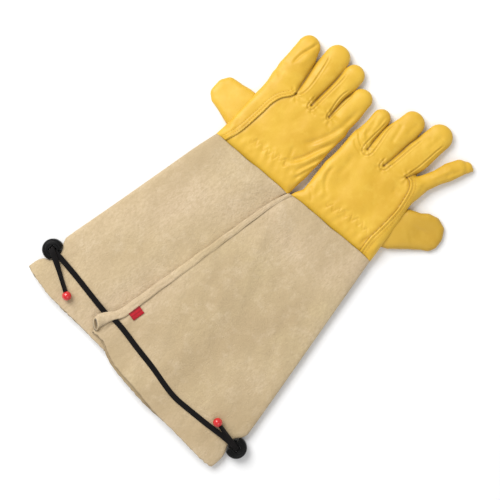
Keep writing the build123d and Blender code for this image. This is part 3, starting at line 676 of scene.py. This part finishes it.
def slab_field(depth, Z, half, edge, middle=None, power=2.6):
    """About the distance in mm outside a flattened bag with rounded edges."""
    middle = REST_GAP + half if middle is None else middle
    outward = np.clip(1 - depth / edge, 0, None)
    return (rounded(outward, np.abs(Z - middle) / half, power) - 1) * np.minimum(half, edge)


def mesh_field(field, origin):
    """Points (mm) and faces of the surface where a field on a grid is 0."""
    grid = openvdb.FloatGrid(5.0)
    grid.copyFromArray(np.ascontiguousarray(np.clip(field, -5, 5).astype(np.float32)))
    grid.transform = openvdb.createLinearTransform(voxelSize=1.0)
    points, quads = grid.convertToQuads(0.0)
    points = np.asarray(points, float) * CELL + np.asarray(origin)
    quads = np.asarray(quads, np.int64)
    a, b, c, d = (points[quads[:, k]] for k in range(4))
    volume = np.einsum("ij,ij->i", a, np.cross(b, c)).sum() + np.einsum("ij,ij->i", a, np.cross(c, d)).sum()
    if volume < 0:
        quads = quads[:, ::-1]
    return points, quads


def grid_axes(low, high):
    return [np.arange(a, b, CELL) for a, b in zip(low, high)]


def point_normals(points, quads):
    normals = np.zeros_like(points)
    face = np.cross(points[quads[:, 2]] - points[quads[:, 0]], points[quads[:, 3]] - points[quads[:, 1]])
    for k in range(4):
        np.add.at(normals, quads[:, k], face)
    return normals / np.maximum(np.linalg.norm(normals, axis=1), 1e-9)[:, None]


def crease_shift(flat, creases):
    """Sum of soft valleys and ridges along lines, each fading towards its ends."""
    shift = np.zeros(len(flat))
    for line, width, depth in creases:
        distance, along, _ = near_line(flat, smooth_line(line, 3.0))
        fade = np.clip(np.minimum(along, 1 - along) / 0.22, 0, 1)
        fade = fade * fade * (3 - 2 * fade)
        shift += depth * np.exp(-(distance / width) ** 2) * fade
    return shift


def pucker_line(glove, pitch=8.5, reach=3.6):
    """Uneven zigzag along the elastic that is sewn inside the wrist."""
    middle = smooth_line(glove["pucker"], 1.0)
    length = along_line(middle, 0.0)[1]
    count = int(length / (pitch / 2))
    k = np.arange(count + 1)
    corners = along_line(middle, length * k / count)[0]
    corners[:, 1] += reach * (-1.0) ** k
    return corners + np.random.default_rng(12).uniform(-1, 1, (count + 1, 2)) * (1.2, 1.0)


def hand_mesh(glove):
    """Leather of the hand: points (u, v, z), faces, each point's painted shade and its distances to the gaps.
    """
    low, high = (-72, HAND_START - 1.0, -1.0), (100 if glove is LEFT else 64, 199, 21.5)
    us, vs, zs = grid_axes(low, high)
    U2, V2 = np.meshgrid(us, vs, indexing="ij")
    flat = np.stack([U2.ravel(), V2.ravel()], -1)
    U, V, Z = np.meshgrid(us, vs, zs, indexing="ij")
    depth = inside_depth(flat, np.array(glove["palm"], float)).reshape(U2.shape)
    sag = 0.5 * wobble(flat, 60, 5 + glove["sign"]).reshape(U2.shape)
    half = HAND_HALF + sag * ramp(V2, 10, 30) - 0.9 * ramp(-V2, -14, 14)
    palm = slab_field(depth[:, :, None], Z, half[:, :, None], 13.0)
    fingers = None
    for chain in glove["fingers"]:
        one = finger_field(U, V, Z, chain)
        fingers = one if fingers is None else soft_min(fingers, one, 0.9)
    field = np.maximum(soft_min(palm, fingers, 4.0), HAND_START - V)
    points, quads = mesh_field(field, low)
    open_wrist = points[quads][:, :, 1].min(1) > HAND_START + 0.6 * CELL
    points, quads, _ = chosen_faces(points, quads, open_wrist)

    normals = point_normals(points, quads)
    upward = np.clip(normals[:, 2] * 1.6, 0, 1)
    flat = points[:, :2]
    shift = 0.82 * crease_shift(flat, glove["creases"])
    shift += 0.15 * wobble(flat, 27, 31) + 0.04 * wobble(flat, 9, 32)
    shade = np.zeros(len(points))

    # side strip: a raised lip along its seam, and hollows where two rows of stitches pull it down
    distance, _, side = near_line(flat, smooth_line(glove["strip"]))
    signed = distance * side
    sewn = 1 - ramp(flat[:, 1], glove["strip"][0][1] + 1, 3)
    lip = np.where(signed >= 0, 1.1 * hill(signed - 1.6, 1.5) + 0.6 * hill(signed, 9),
                   -0.8 * hill(signed, 2.4))
    lip += -0.35 * hill(signed - 3.6, 0.8) - 0.35 * hill(signed - 7.4, 0.8)
    lip += 0.22 * hill(signed - 5.5, 1.2) * (0.6 + 0.4 * wobble(flat, 5, 7))
    shift += lip * sewn
    # painted shade: a dark line in the seam, a painted shadow beside the lip on the palm side, and shade in
    # the first row of stitches
    shade += 0.62 * hill(signed + 0.5, 0.52) * sewn
    shade += np.where(signed < 0, 0.14 * hill(signed, 3.2), 0) * sewn
    shade += 0.10 * hill(signed - 3.6, 0.6) * sewn

    # slits between the fingers, each ending in a small hole with short gathers round it
    gap_near = []
    for line in glove["gaps"]:
        distance, along, _ = near_line(flat, smooth_line(line, 2.0))
        gap_near.append(distance)
        tip_fade = 1 - ramp(along, 0.62, 0.2)
        width = 0.95 + 0.35 * wobble(flat, 30, 17)
        # painted shade: a dark line down each slit and softer shade to either side
        shade += 0.85 * np.exp(-(distance / width) ** 2) * tip_fade
        shade += 0.16 * hill(distance, 3.4) * tip_fade
        shift += -0.9 * hill(distance, 1.8) * tip_fade
        hole = np.hypot(flat[:, 0] - line[0][0], flat[:, 1] - line[0][1])
        shift += -1.6 * hill(hole, 1.7)
        # painted shade in the hole
        shade += 0.5 * hill(hole, 1.2)
        spokes = np.arctan2(flat[:, 1] - line[0][1], flat[:, 0] - line[0][0])
        shift += 0.40 * np.cos(7 * spokes) * hill(hole - 7.5, 3.5)
    for line in glove["seams"]:
        distance, along, _ = near_line(flat, smooth_line(line))
        fade = np.clip(np.minimum(along, 1 - along) / 0.07, 0, 1)
        shift += (-0.65 * hill(distance, 0.8) + 0.40 * hill(distance - 2.0, 1.0)) * fade
        # painted shade along the seam's groove
        shade += 0.34 * hill(distance, 0.62) * fade

    # puckers over the elastic inside the wrist
    distance, along, _ = near_line(flat, pucker_line(glove))
    ends = np.clip(np.minimum(along, 1 - along) / 0.08, 0, 1)
    patchy = np.clip(0.75 + 0.5 * wobble(flat, 16, 43), 0.25, 1.2) * ends
    shift += (-0.42 * hill(distance, 1.3) + 0.24 * hill(distance - 3.0, 1.5)) * patchy
    # painted shade in the valley of the zigzag
    shade += 0.05 * hill(distance, 0.9) * patchy
    gather = hill(flat[:, 1] - 19, 13)
    shift += 0.36 * gather * wobble(flat * (1.0, 0.36), 10.5, 41)

    points[:, 2] += shift * upward * ramp(flat[:, 1], -2, 4)
    points[:, :2] += normals[:, :2] * (0.35 * wobble(points, 26, 51))[:, None] * (1 - upward)[:, None]
    tuck = 1 - ramp(flat[:, 1], -2.0, 8.0)
    points[:, 2] += -1.25 * tuck * np.where(normals[:, 2] > 0, upward, 0)
    points[:, 2] = np.maximum(points[:, 2], 0.25)
    return points, quads, np.clip(shade, 0, 1), np.array(gap_near)


def surface_of(points, quads):
    return BVHTree.FromPolygons([tuple(p) for p in points], [tuple(int(i) for i in q) for q in quads])


def height_on(tree, x, y, default):
    """Height of the first surface met from above."""
    hit = tree.ray_cast(Vector((x, y, 60.0)), Vector((0, 0, -1)))[0]
    return default if hit is None else hit.z


def stitches(name, lines, tree, glove, length=2.3, pitch=3.3, radius=0.38, sink=0.06):
    """Short threads along lines of (u, v), laid on the leather; points in metres."""
    points, faces = [], []
    around, rings = 6, 5
    for line in lines:
        s, total = pitch / 2, along_line(line, 0.0)[1]
        while s + length < total:
            (a, b), _ = along_line(line, np.array([s, s + length]))
            s += pitch
            za, zb = height_on(tree, *a, None), height_on(tree, *b, None)
            if za is None or zb is None or min(za, zb) < 6 or abs(za - zb) > 2.5:
                continue
            p, q = np.array([*a, za]), np.array([*b, zb])
            run = (q - p) / np.linalg.norm(q - p)
            side = np.cross(run, (0, 0, 1))
            side /= np.linalg.norm(side)
            up = np.cross(side, run)
            start = len(points)
            for i in range(rings):
                t = i / (rings - 1)
                thick = radius * math.sin(math.pi * (0.14 + 0.72 * t)) ** 0.6
                centre = p + (q - p) * t + up * (0.30 * math.sin(math.pi * t) - sink)
                for k in range(around):
                    w = 2 * math.pi * k / around
                    points.append(centre + side * math.cos(w) * thick + up * math.sin(w) * thick)
            faces += closed_tube(rings, around, start)
    points = np.array(points)
    made = make_object(name, place(glove, points[:, 0], points[:, 1], points[:, 2]), faces, thread)
    return made


def offset_line(line, distance):
    """A line beside another, to its left for a positive distance."""
    run = np.gradient(line, axis=0)
    run /= np.linalg.norm(run, axis=1)[:, None]
    return line + np.stack([-run[:, 1], run[:, 0]], -1) * distance


def across_knuckles(made):
    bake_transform(made)


def across_wrist(made):
    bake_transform(made)


def hand(glove):
    """The hand's leather as panels that meet at the seams, and its stitching."""
    name = glove["name"]
    points, quads, shade, gap_near = hand_mesh(glove)
    centre = points[quads].mean(1)
    normals = point_normals(points, quads)
    up = normals[quads][:, :, 2].mean(1)
    strip = smooth_line(glove["strip"])
    strip_side = near_line(centre[:, :2], strip)[2]
    index_side = near_line(centre[:, :2], smooth_line(glove["gaps"][0], 2.0))[2]
    thumb_side = np.where(centre[:, 1] < glove["strip"][0][1], strip_side > 0, index_side < 0)
    below = (centre[:, 2] < 7.0) & (up < 0.35)
    near = gap_near[:, quads].mean(2)
    which = near.argmin(0)
    webbing = (near.min(0) < 4.4) & ~below
    panels = [
        ("palm_leather", below, ["palm_panel", "finger_fronts"]),
        ("side_strip_and_index_back", thumb_side & ~webbing & ~below, ["side_strip", "index_finger_back"]),
        ("back_leather", ~thumb_side & ~webbing & ~below,
         ["back_panel", "middle_finger_back", "ring_finger_back", "little_finger_back"])]
    for k, gap in enumerate(("index_middle", "middle_ring", "ring_little")):
        panels.append((f"{gap}_fourchette_leather", webbing & (which == k), [f"{gap}_fourchette"]))
    faces = quads[:, ::-1] if glove is RIGHT else quads
    in_frame = place(glove, points[:, 0], points[:, 1], points[:, 2])
    for label, keep, nodes in panels:
        part, part_faces, used = chosen_faces(in_frame, faces, keep)
        made = make_object(f"{name}_{label}", part, part_faces, leather)
        set_shade(made, shade[used])
        stand_in(made, "yellow_leather", *[f"{name}_{node}" for node in nodes])
        across_knuckles(made)

    tree = surface_of(points, quads)
    strip_lines = [offset_line(strip, 3.6), offset_line(strip, 7.4)]
    made = stitches(f"{name}_strip_stitching", strip_lines, tree, glove)
    across_knuckles(made)
    made = stitches(f"{name}_wrist_stitching", [pucker_line(glove)], tree, glove,
                    length=1.9, pitch=2.6, radius=0.22, sink=0.22)
    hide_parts(f"{name}_wrist_elastic")
    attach(made, f"{name}_hand")


def thumb(glove):
    """The wing thumb, sewn from a back and a front half."""
    name = glove["name"]
    outline = np.array(glove["thumb"], float)
    low = (outline[:, 0].min() - 2, outline[:, 1].min() - 4, -1.0)
    high = (outline[:, 0].max() + 4, outline[:, 1].max() + 4, 17.0)
    us, vs, zs = grid_axes(low, high)
    U2, V2 = np.meshgrid(us, vs, indexing="ij")
    flat = np.stack([U2.ravel(), V2.ravel()], -1)
    inner = outline.mean(0)
    reach = np.linalg.norm(outline - inner, axis=1)[:, None]
    rounding = glove["thumb_round"]
    tip = float(outline[:, 0].max())
    shrunk = inner + (outline - inner) * (1 - rounding * 0.9 / reach)
    depth = inside_depth(flat, shrunk).reshape(U2.shape) + rounding
    length, drop = THUMB_DROP
    half = 6.6 - 2.4 * ramp(U2, tip - length, length) + 0.2 * wobble(flat, 40, 3).reshape(U2.shape)
    middle = THUMB_MIDDLE - drop * ramp(U2, tip - length, length)
    field = slab_field(depth[:, :, None], zs[None, None, :], half[:, :, None], 9.5, middle=middle[:, :, None],
                       power=2.3)
    points, quads = mesh_field(field, low)
    normals = point_normals(points, quads)
    shift = crease_shift(points[:, :2], glove["creases"]) + 0.16 * wobble(points[:, :2], 26, 61)
    points[:, 2] += shift * np.clip(normals[:, 2] * 1.5, 0, 1)
    above = points[:, 2] - THUMB_MIDDLE + drop * ramp(points[:, 0], tip - length, length)
    at_side = np.abs(normals[:, 2]) < 0.7
    points[:, :2] += normals[:, :2] * (0.5 * hill(above, 0.7) * at_side)[:, None]
    # painted shade just under the side seam, and painted shade over the whole left thumb
    shade = 0.25 * hill(above + 1.0, 0.5) * at_side + (LEFT_THUMB_PAINTED_SHADE if glove is LEFT else 0.0)
    upper = above[quads].mean(1) >= 0
    faces = quads[:, ::-1] if glove is RIGHT else quads
    in_frame = place(glove, points[:, 0], points[:, 1], points[:, 2])
    for label, keep, node in (("thumb_back_leather", upper, "thumb_back"),
                              ("thumb_front_leather", ~upper, "thumb_front")):
        part, part_faces, used = chosen_faces(in_frame, faces, keep)
        made = make_object(f"{name}_{label}", part, part_faces, leather)
        set_shade(made, shade[used])
        stand_in(made, "yellow_leather", f"{name}_{node}")
        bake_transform(made)


# ---- sleeves ----
def edge_x(line, y):
    """x of an edge line at heights y; the line runs downwards."""
    smooth = smooth_line(line, 2.0)[::-1]
    return np.interp(y, smooth[:, 1], smooth[:, 0])


def sleeve_profile(glove, x, y):
    """Underside and top of a flattened sleeve, as it lies on the surface or on the other sleeve."""
    if glove is RIGHT:
        beside = ramp(x, edge_x(LEFT["sleeve_inner"], y) - 40, 36) * ramp(-y, -54, 24)   # pressed down there
        return np.full_like(x, REST_GAP), SLEEVE_TOP - 3.6 * beside
    ridden = (1 - ramp(x, edge_x(RIGHT["sleeve_inner"], y) + 4, 40)) * ramp(-y, -58, 34)
    return REST_GAP + RIDE_UP * ridden, SLEEVE_TOP + 3.4 * ridden


def line_y(line, x):
    given = np.array(line, float)
    order = np.argsort(given[:, 0])
    return np.interp(x, given[order, 0], given[order, 1])


def sleeve_rows(glove, inset, rows, half_count):
    """(row, point, 3) grid of the sleeve's skin, inset from the outside."""
    outer, inner = glove["sleeve_outer"], glove["sleeve_inner"]
    cuff = smooth_line(glove["cuff"], 3.0)
    wx, wy = glove["wrist"]
    across = -np.cos(np.pi * np.arange(half_count + 1) / half_count)
    across = np.sign(across) * np.abs(across) ** 0.9
    made = []
    for t in np.linspace(0, 1, rows):
        def y_at(x):
            uneven = 0.4 * np.sin(x / 11) + 0.25 * np.sin(x / 5.3 + 1)
            wrist_y = wy + (x - wx) * math.tan(TILT) - 0.6 + uneven
            return (1 - t) * wrist_y + t * line_y(cuff, x)

        thin = inset * (PARED + (1 - PARED) * float(ramp(np.array(t), 0.0, 0.04)))
        x_out, x_in = outer[0][0], inner[0][0]
        for _ in range(4):
            x_out = float(edge_x(outer, y_at(x_out)))
            x_in = float(edge_x(inner, y_at(x_in)))
        left, right = min(x_out, x_in) + thin, max(x_out, x_in) - thin
        x = (left + right) / 2 + across * (right - left) / 2
        y = y_at(x)
        low, high = sleeve_profile(glove, x, y)
        swell = (1 - np.abs(across) ** EDGE_POWER) ** (1 / EDGE_POWER)
        swell[[0, -1]] = 0
        low, high = low + thin, high - thin
        middle = (low + high) / 2
        top = middle + (high - middle) * swell
        bottom = middle - (middle - low) * swell
        flat = np.stack([x, y], -1)
        band = y - line_y(glove["band_y"], x)
        calm = 1 - 0.85 * hill(band, 8)          # folds die out where the elastic holds the suede
        folds = (0.55 * wobble(flat * (1.0, 0.5), 70, 71) + 0.35 * wobble(flat, 33, 72)
                 + 0.10 * wobble(flat, 9, 73)) * calm
        pleats = 0.5 * wobble(flat * (1.0, 0.22), 13, 74) * np.exp(-(np.abs(band) / 20) ** 1.5) * (
            1 - hill(band, 5.5))
        cinch = -0.65 * np.exp(-(band / 4.6) ** 4)
        free = 1 - ramp(-t, -0.035, 0.035)
        rise = 2.2 * ramp(-t, -0.16, 0.16) - 0.9 * ramp(-t, -0.012, 0.012)
        top = top + ((folds + pleats + cinch) * free + rise) * swell
        under = y - line_y(glove["under_band_y"], x)
        bottom = bottom + 2.0 * np.exp(-(under / 4.8) ** 6) * swell
        bottom = np.minimum(bottom, top - 0.3 if inset else top - 2.8 * swell)
        y_top = y + (0.5 * wobble(flat, 9, 75) + 0.8 * wobble(flat, 40, 76)) * ramp(t, 0.97, 0.03)
        lower = 4.2 * np.exp(-(((x - 15) / 70) ** 4)) if glove is LEFT else 1.2
        y_bottom = y - lower * ramp(t, 0.9, 0.1) + 0.5 * wobble(flat, 9, 77) * ramp(t, 0.97, 0.03)
        made.append([*zip(x, y_top, top)] + [*zip(x, y_bottom, bottom)][-2:0:-1])
    return np.array(made)


def suede_tube(name, outside, inside, turned=False):
    """Open tube of suede with a lining; the last rim is a paler cut edge. Also its points in mm."""
    rows, count = outside.shape[:2]
    points = np.vstack([outside.reshape(-1, 3), inside.reshape(-1, 3)])
    skin = tube_faces(rows, count, turned=turned)
    faces = [skin, skin[:, ::-1] + rows * count]
    k = np.arange(count)
    for row, flip in ((0, turned), (rows - 1, not turned)):
        a, b = row * count + k, row * count + (k + 1) % count
        rim = np.stack([a, a + rows * count, b + rows * count, b], -1)
        faces.append(rim[:, ::-1] if flip else rim)
    faces = np.vstack(faces)
    made = make_object(name, points * MM, faces, suede)
    made.data.materials.append(suede_edge)
    slots = np.zeros(len(faces), np.int32)
    slots[-count:] = 1
    made.data.polygons.foreach_set("material_index", slots)
    return made, points


def sleeve(glove):
    """Suede sleeve with real thickness, cut edges at both ends."""
    name = glove["name"]
    outside, inside = (sleeve_rows(glove, inset, rows=170, half_count=96) for inset in (0.0, SUEDE))
    made, points = suede_tube(f"{name}_suede_sleeve", outside, inside)
    x, y, z = points.T
    v = (x - glove["wrist"][0]) * -math.sin(TILT) + (y - glove["wrist"][1]) * math.cos(TILT)
    # painted shade: a faint line at the wrist join and the whole lining darker; on the left sleeve, a painted
    # shadow beside the rolled strip's seam
    shade = 0.04 * hill(v + 0.4, 1.1)
    shade[len(points) // 2:] += 0.35
    if glove is LEFT:
        seam = line_x_of_strip(y) + strip_width(y)
        shade += np.where(z > 12, 0.6 * hill(x - seam - 0.1, 0.9), 0) * ramp(y, -236, 12)
    set_shade(made, np.clip(shade, 0, 1))
    stand_in(made, "tan_suede", f"{name}_sleeve")
    across_wrist(made)
    return outside


# ---- the rolled seam along the left sleeve's inner edge, and the hidden one of the right sleeve ----
def strip_width(y):
    """Width of the folded seam strip, growing towards the cuff."""
    return np.interp(-np.asarray(y, float), [-54, 0, 60, 130, 185, 212, 236],
                     [4.6, 6.6, 8.4, 9.8, 10.6, 13.0, 13.4])


def line_x_of_strip(y):
    """Free edge of the strip, drawn out a little where the elastic goes under it."""
    y = np.asarray(y, float)
    return edge_x(LEFT["sleeve_inner"], y) + 0.2 - 3.8 * np.exp(-((y + 222) / 15) ** 4)


def height_at_edge(x, y):
    """Top of the left sleeve's rounded edge."""
    outer, inner = float(edge_x(LEFT["sleeve_outer"], y)), float(edge_x(LEFT["sleeve_inner"], y))
    across = min(abs(2 * x - outer - inner) / abs(outer - inner), 1.0)
    low, high = sleeve_profile(LEFT, np.array([x]), np.array([y]))
    swell = (1 - across ** EDGE_POWER) ** (1 / EDGE_POWER)
    return float((low[0] + high[0]) / 2 + (high[0] - low[0]) / 2 * swell)


def rolled_strip():
    """Seam allowance folded over the left sleeve's edge; it opens into a curl at the cuff."""
    ys = np.concatenate([np.linspace(56, -214, 150), np.linspace(-215, -234.6, 34)])
    count = 40
    angles = 2 * math.pi * np.arange(count) / count
    c, s = np.cos(angles), np.sin(angles)
    rings_out, rings_in = [], []
    for y in ys:
        width = float(strip_width(y))
        curl, lean, growth = (float(ramp(np.array(-y), start, reach))
                              for start, reach in ((208, 26), (198, 38), (60, 150)))
        height = 1.9 + 1.1 * growth + 4.2 * curl
        x_mid = float(line_x_of_strip(y)) + width / 2
        middle_top = height_at_edge(x_mid + 0.18 * width, y)
        over_band = 1.2 * math.exp(-((y + 213) / 8) ** 4)
        z_mid = middle_top - 0.5 + height / 2 + over_band + 0.4 * curl
        wave = 0.45 * wobble(np.array([[y, 0.0]]), 34, 81)[0]
        for rings, inset, tilt in ((rings_out, 0.0, 4.8), (rings_in, 1.25 + 0.9 * curl, 1.7)):
            a = max(width / 2 + 0.3 - inset, 0.35)
            b = max(height / 2 + 0.25 - inset, 0.16)
            across = np.sign(c) * np.abs(c) ** 0.85
            up = np.sign(s) * np.abs(s) ** (0.8 + 0.2 * curl)
            x = x_mid + wave - 7.4 * lean + a * across
            sloped = (middle_top - height_at_edge(x_mid - 0.35 * width, y)) * (1 - curl)
            z = z_mid + b * up + np.clip(across, -1, 0) * 0.55 * sloped
            z += 0.14 * np.sin(7.0 * across + y * 0.02) * (s > 0) * (1 - curl)
            yy = y + curl * (-0.62 * a * across + tilt * up + 1.6)
            rings.append(np.stack([x, yy, z], -1))
    made, points = suede_tube("left_rolled_seam_strip", np.array(rings_out), np.array(rings_in), turned=True)
    # painted shade: the lining, seen inside the curl, is darker
    set_shade(made, np.where(np.arange(len(points)) < len(points) // 2, 0.0, 0.75))
    stand_in(made, "tan_suede", "left_sleeve_welt")
    across_wrist(made)


def hidden_welt():
    """Seam allowance along the right sleeve's inner edge, under the left sleeve."""
    ys = np.linspace(-38, -246, 90)
    section = rounded_section(4.2, 2.4, 16, 2.6)
    points = [(float(edge_x(RIGHT["sleeve_inner"], y)) + 1.4 + across, y, 4.2 + up)
              for y in ys for across, up in section]
    faces = closed_tube(len(ys), len(section), turned=True)
    made = make_object("right_seam_welt", np.array(points) * MM, faces, suede)
    stand_in(made, "tan_suede", "right_sleeve_welt")
    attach(made, "right_sleeve")


def side_label(outside):
    """Small plain tape label, folded in half and caught in the seam."""
    width, length, turn = 13.4, 16.6, math.radians(-8.2)
    centre = (-40.6, -186.6)
    tree = surface_of(outside.reshape(-1, 3), tube_faces(*outside.shape[:2]))
    nu, nv = 14, 24
    size = nu * nv
    points, shade, faces = [], [], []
    for lift in (0.35, 1.15):
        for i in range(nu):
            for j in range(nv):
                a = (i / (nu - 1) - 0.5) * width
                b = (j / (nv - 1) - 0.5) * length
                x = centre[0] + a * math.cos(turn) - b * math.sin(turn)
                y = centre[1] + a * math.sin(turn) + b * math.cos(turn)
                curl = 1.1 * (1 - (2 * a / width) ** 4) + 0.25 * (2 * b / length) ** 2
                points.append((x, y, height_on(tree, x, y, 18.7) + lift + curl))
                # painted shadow of the strip along one long side and one end, and painted shade in the
                # pressed crease along row 8
                shade.append(0.7 if i < 5 or j < 1 else 0.55 if i == 8 else 0.0)   # 8 is a pressed line
    for i in range(nu - 1):
        for j in range(nv - 1):
            a = i * nv + j
            faces.append((a, a + 1, a + nv + 1, a + nv))
            a += size
            faces.append((a, a + nv, a + nv + 1, a + 1))
    border = ([(0, j) for j in range(nv)] + [(i, nv - 1) for i in range(1, nu)]
              + [(nu - 1, j) for j in range(nv - 2, -1, -1)] + [(i, 0) for i in range(nu - 2, 0, -1)])
    loop = [i * nv + j for i, j in border]
    for p, q in zip(loop, loop[1:] + loop[:1]):
        faces.append((p, p + size, q + size, q))
    made = make_object("left_plain_label", np.array(points) * MM, faces, red_tape)
    set_shade(made, shade)
    stand_in(made, "red_label", "left_side_label")
    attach(made, "left_sleeve")


# ---- locks ----
def lock_ridge(glove):
    """Raised arcs near the rim and inside it, on top of the lock."""
    name = glove["name"]
    lx, ly, lz = glove["lock"]
    outward = glove["sign"]
    points, faces = [], []
    rings, around = 61, 10
    for radius, height, limit in ((10.6, 13.6, math.radians(116)), (7.4, 14.0, math.radians(128))):
        faces += closed_tube(rings, around, len(points), turned=outward > 0)
        for angle in np.linspace(-limit, limit, rings):
            for w in np.arange(around) * 2 * math.pi / around:
                reach = radius + 0.55 * math.cos(w)
                points.append((lx + outward * reach * math.cos(angle), ly + reach * math.sin(angle),
                               lz + height + 0.5 * math.sin(w)))
    made = make_object(f"{name}_lock_ridges", np.array(points) * MM, faces, black_plastic)
    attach(made, f"{name}_lock")


def paint_cad(node, material):
    """Gives a CAD node its material."""
    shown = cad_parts[node]
    shown.data.materials.clear()
    shown.data.materials.append(material)
    shown.data.polygons.foreach_set("material_index", np.zeros(len(shown.data.polygons), np.int32))


# ---- floor and light ----
def stage():
    """Pale floor, white surroundings and two soft lamps."""
    bpy.ops.mesh.primitive_plane_add(size=6.0, location=(0, 0, 0))
    floor = bpy.context.object
    floor.name = "floor"
    material = bpy.data.materials.new("floor")
    material.use_nodes = True
    shader = material.node_tree.nodes["Principled BSDF"]
    shader.inputs["Base Color"].default_value = (0.9, 0.9, 0.9, 1)
    shader.inputs["Roughness"].default_value = 0.9
    floor.data.materials.append(material)
    world = bpy.data.worlds.new("world")
    bpy.context.scene.world = world
    world.use_nodes = True
    world.node_tree.nodes["Background"].inputs[0].default_value = (1, 1, 1, 1)
    world.node_tree.nodes["Background"].inputs[1].default_value = 0.5
    lamps = (("key", (-1.5, 0.1, 1.7), 1.5, 52.0), ("fill", (1.2, -0.5, 1.8), 1.4, 8.0))
    for name, place_m, size, power in lamps:
        light = bpy.data.lights.new(name, "AREA")
        light.size = size
        light.energy = power
        lamp = bpy.data.objects.new(name, light)
        lamp.location = place_m
        lamp.rotation_euler = (-Vector(place_m)).to_track_quat("-Z", "Y").to_euler()
        bpy.context.scene.collection.objects.link(lamp)
    bpy.context.scene.view_settings.view_transform = "Standard"


for glove in (RIGHT, LEFT):
    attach(drawcord(glove), f"{glove['name']}_sleeve")
    tail(glove)
for glove in (RIGHT, LEFT):
    name = glove["name"]
    hand(glove)
    thumb(glove)
    skin = sleeve(glove)
    if glove is LEFT:
        side_label(skin)
    lock_ridge(glove)
    for node, material in (("bead", red_plastic), ("cord_lock_body", black_plastic),
                           ("cord_lock_button", black_plastic), ("cord_lock_spring", steel)):
        paint_cad(f"{name}_{node}", material)
rolled_strip()
hidden_welt()
stage()
